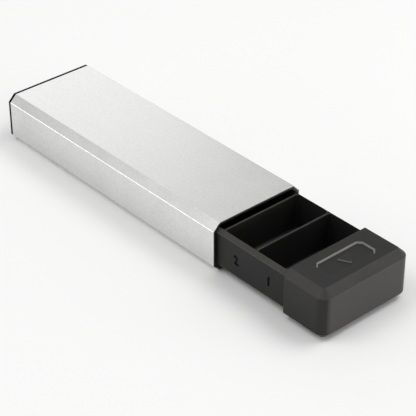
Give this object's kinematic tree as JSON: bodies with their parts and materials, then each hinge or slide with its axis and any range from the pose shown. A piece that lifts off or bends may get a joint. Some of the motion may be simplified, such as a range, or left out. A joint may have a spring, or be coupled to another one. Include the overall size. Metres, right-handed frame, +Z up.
{
  "type": "pill organizer",
  "caption": "Slide-out weekly pill organizer: a chamfered aluminium sleeve with a black compartment drawer and a thumb-recessed pull head.",
  "frame": {"origin": "middle of the sleeve's flat underside", "axes": "+X out of the sleeve's mouth, the way the drawer opens; +Z up; +Y to the right of someone who faces the drawer head"},
  "size_m": [0.2135, 0.05, 0.0246],
  "materials": {
    "satin_aluminium": "fine satin anodised",
    "black_liner_plastic": "matte black",
    "black_cap_plastic": "matte black",
    "black_tray_plastic": "fine matte black",
    "black_head_plastic": "fine matte black",
    "nickel_plate": "plated, smooth"
  },
  "bodies": {
    "case": {"outer_sleeve": "satin_aluminium", "sleeve_liner": "black_liner_plastic", "rear_cap": "black_cap_plastic", "cap_magnet_left": "nickel_plate", "cap_magnet_right": "nickel_plate"},
    "drawer": {"drawer_tray": "black_tray_plastic", "drawer_head": "black_head_plastic", "tray_magnet_left": "nickel_plate", "tray_magnet_right": "nickel_plate"}
  },
  "joints": [
    {"name": "drawer_slide", "type": "slide", "parent": "case", "child": "drawer", "axis": [1, 0, 0], "range_m": [-0.0423, 0.0923]}
  ]
}
